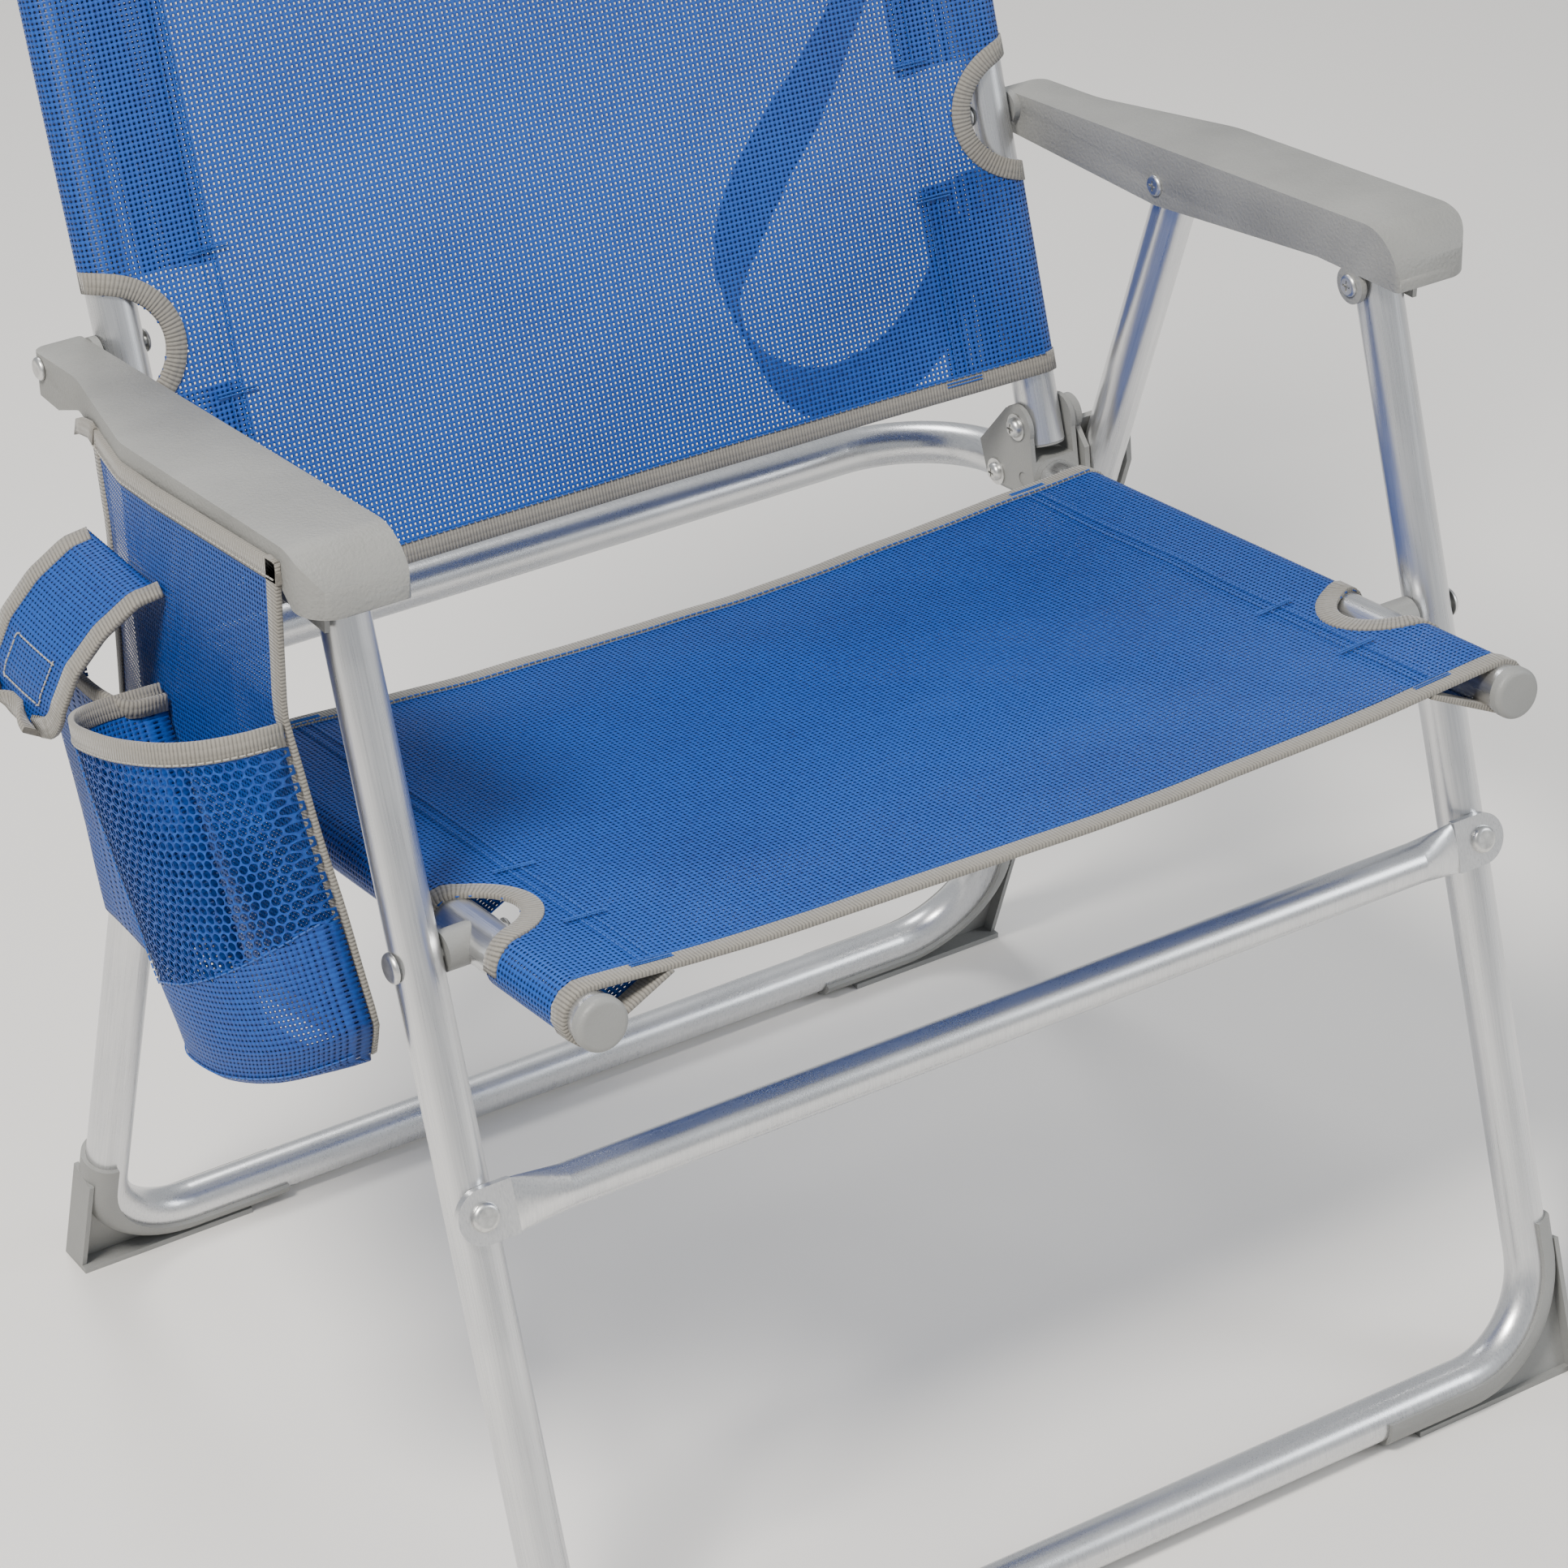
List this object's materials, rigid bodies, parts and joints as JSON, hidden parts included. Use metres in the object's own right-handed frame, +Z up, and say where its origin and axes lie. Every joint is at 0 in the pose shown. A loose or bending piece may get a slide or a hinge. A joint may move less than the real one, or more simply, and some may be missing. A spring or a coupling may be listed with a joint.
{
  "type": "folding beach chair",
  "caption": "Folding aluminium beach chair with blue mesh seat and back slings, grey moulded armrests, a side bag with bottle and phone pockets, and a carrying strap.",
  "frame": {"origin": "on the floor, under the middle of the whole chair's footprint, side bag included", "axes": "+Z up, the sitter faces -Y, +X is the sitter's left"},
  "size_m": [0.6594, 0.5448, 0.8778],
  "materials": {
    "frame_aluminium": "satin anodised, fine drawn lines",
    "grey_plastic": "moulded, fine grain",
    "zinc_steel": "zinc plated",
    "blue_mesh": "open woven coated mesh",
    "blue_webbing": "flat woven webbing"
  },
  "bodies": {
    "seat": {"seat_frame_tube": "frame_aluminium", "seat_end_caps": "grey_plastic", "seat_sling": "blue_mesh", "hinge_bracket_left": "grey_plastic", "hinge_bracket_right": "grey_plastic", "back_hinge_bolts": "zinc_steel", "back_hinge_washers": "zinc_steel", "bracket_bolts": "zinc_steel", "bracket_washers": "zinc_steel", "seat_pivot_spacers": "grey_plastic", "seat_pivot_rivets": "zinc_steel"},
    "front_legs": {"front_leg_tube": "frame_aluminium", "front_leg_plugs": "grey_plastic", "front_stretcher": "frame_aluminium", "stretcher_rivets": "zinc_steel", "front_foot_pads": "grey_plastic"},
    "rear_legs": {"rear_leg_tube": "frame_aluminium", "rear_leg_plugs": "grey_plastic", "rear_foot_pads": "grey_plastic"},
    "back": {"back_frame_tube": "frame_aluminium", "back_end_plugs": "grey_plastic", "back_sling": "blue_mesh", "carry_strap": "blue_webbing", "strap_loops": "blue_webbing"},
    "armrest_left_body": {"armrest_left": "grey_plastic", "armrest_screws_left": "zinc_steel", "back_spacer_left": "grey_plastic"},
    "armrest_right_body": {"armrest_right": "grey_plastic", "armrest_screws_right": "zinc_steel", "back_spacer_right": "grey_plastic", "bag_panel": "blue_mesh", "bottle_pocket": "blue_mesh", "phone_pocket": "blue_mesh", "phone_flap": "blue_mesh"},
    "link_left_body": {"rear_link_left": "grey_plastic", "rear_link_pins_left": "zinc_steel"},
    "link_right_body": {"rear_link_right": "grey_plastic", "rear_link_pins_right": "zinc_steel"}
  },
  "joints": [
    {"name": "fold", "type": "hinge", "parent": "seat", "child": "front_legs", "pos_m": [0.03225, -0.15229, 0.37123], "axis": [1, 0, 0], "range_deg": [0, 92]},
    {"name": "back_fold", "type": "hinge", "parent": "seat", "child": "back", "pos_m": [0.03225, 0.11424, 0.37327], "axis": [1, 0, 0], "range_deg": [0, 92]},
    {"name": "armrest_left_turn", "type": "hinge", "parent": "back", "child": "armrest_left_body", "pos_m": [0.29625, 0.15944, 0.52488], "axis": [1, 0, 0], "range_deg": [-92, 0]},
    {"name": "armrest_right_turn", "type": "hinge", "parent": "back", "child": "armrest_right_body", "pos_m": [-0.23175, 0.15944, 0.52488], "axis": [1, 0, 0], "range_deg": [-92, 0]},
    {"name": "rear_leg_fold", "type": "hinge", "parent": "armrest_left_body", "child": "rear_legs", "pos_m": [0.03225, 0.04034, 0.52208], "axis": [1, 0, 0], "range_deg": [0, 56.63]},
    {"name": "link_left_turn", "type": "hinge", "parent": "rear_legs", "child": "link_left_body", "pos_m": [0.30025, 0.11604, 0.31445], "axis": [1, 0, 0], "range_deg": [-134.66, 0]},
    {"name": "link_right_turn", "type": "hinge", "parent": "rear_legs", "child": "link_right_body", "pos_m": [-0.23575, 0.11604, 0.31445], "axis": [1, 0, 0], "range_deg": [-134.66, 0]}
  ],
  "couplings": [
    {"joint": "back_fold", "follows": "fold", "ratio": 1},
    {"joint": "armrest_left_turn", "follows": "fold", "ratio": -1},
    {"joint": "armrest_right_turn", "follows": "fold", "ratio": -1},
    {"joint": "rear_leg_fold", "follows": "fold", "ratio": 0.61535},
    {"joint": "link_left_turn", "follows": "fold", "ratio": -1.4635},
    {"joint": "link_right_turn", "follows": "fold", "ratio": -1.4635}
  ]
}
